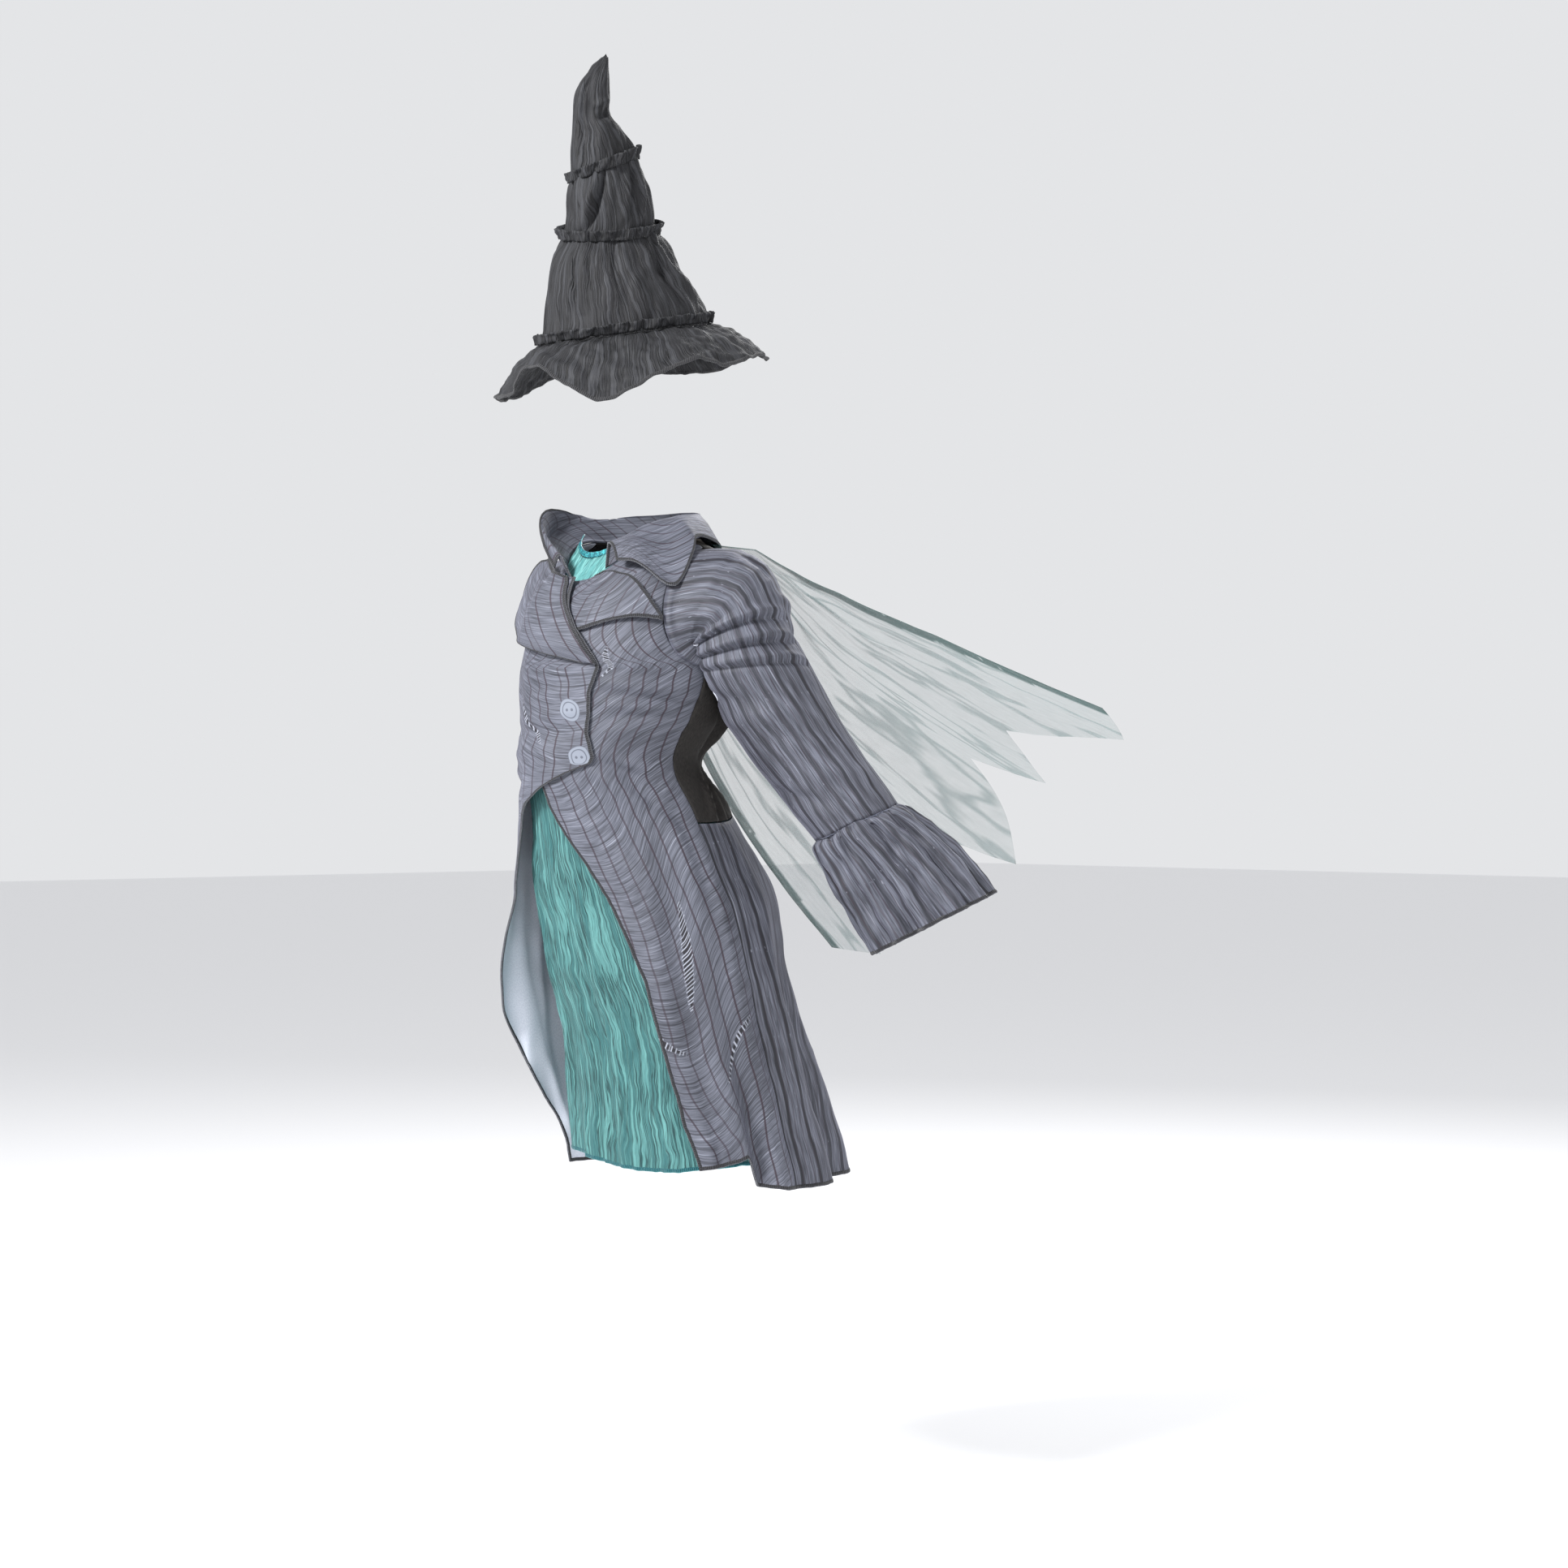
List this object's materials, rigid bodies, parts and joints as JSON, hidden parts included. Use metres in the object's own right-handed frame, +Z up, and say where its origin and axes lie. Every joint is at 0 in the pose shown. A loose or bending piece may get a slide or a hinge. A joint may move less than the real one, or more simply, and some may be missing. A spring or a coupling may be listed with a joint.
{
  "type": "witch costume",
  "caption": "Child's witch costume of cloth, hollow as worn: patched tailcoat over a crinkled underskirt, bell cuffs, sheer tattered cape and pointed gathered hat.",
  "frame": {"origin": "middle of the neck opening, where the wearer's neck and shoulders hold the costume", "axes": "+Z up, -Y the way the wearer's chest faces, +X the wearer's left"},
  "size_m": [0.6632, 0.6131, 1.1633],
  "materials": {
    "coat_cloth": "light woven polyester, blue-grey with thin charcoal and mauve stripes and pale flecks, slight sheen",
    "hat_cloth": "charcoal crinkled polyester",
    "black_stretch": "matt black knit stretch cloth",
    "teal_crinkle": "teal crinkled satin with dark creases",
    "glitter_trim": "bright teal glitter tape",
    "sheer": "pale grey-teal sheer chiffon, see-through"
  },
  "bodies": {
    "root": {"coat_front_left": "coat_cloth", "coat_front_right": "coat_cloth", "back_bodice": "black_stretch", "back_skirt": "coat_cloth", "collar": "coat_cloth", "lapel_left": "coat_cloth", "lapel_right": "coat_cloth", "neck_inset": "teal_crinkle", "inset_trim": "glitter_trim", "sleeve_left": "coat_cloth", "sleeve_right": "coat_cloth", "cuff_left": "coat_cloth", "cuff_right": "coat_cloth", "underskirt": "teal_crinkle", "cape": "sheer", "hat_tip": "hat_cloth", "hat_upper_band": "hat_cloth", "hat_crown": "hat_cloth", "hat_brim": "hat_cloth", "hat_frill_top": "hat_cloth", "hat_frill_middle": "hat_cloth", "hat_frill_brim": "hat_cloth"}
  },
  "joints": []
}
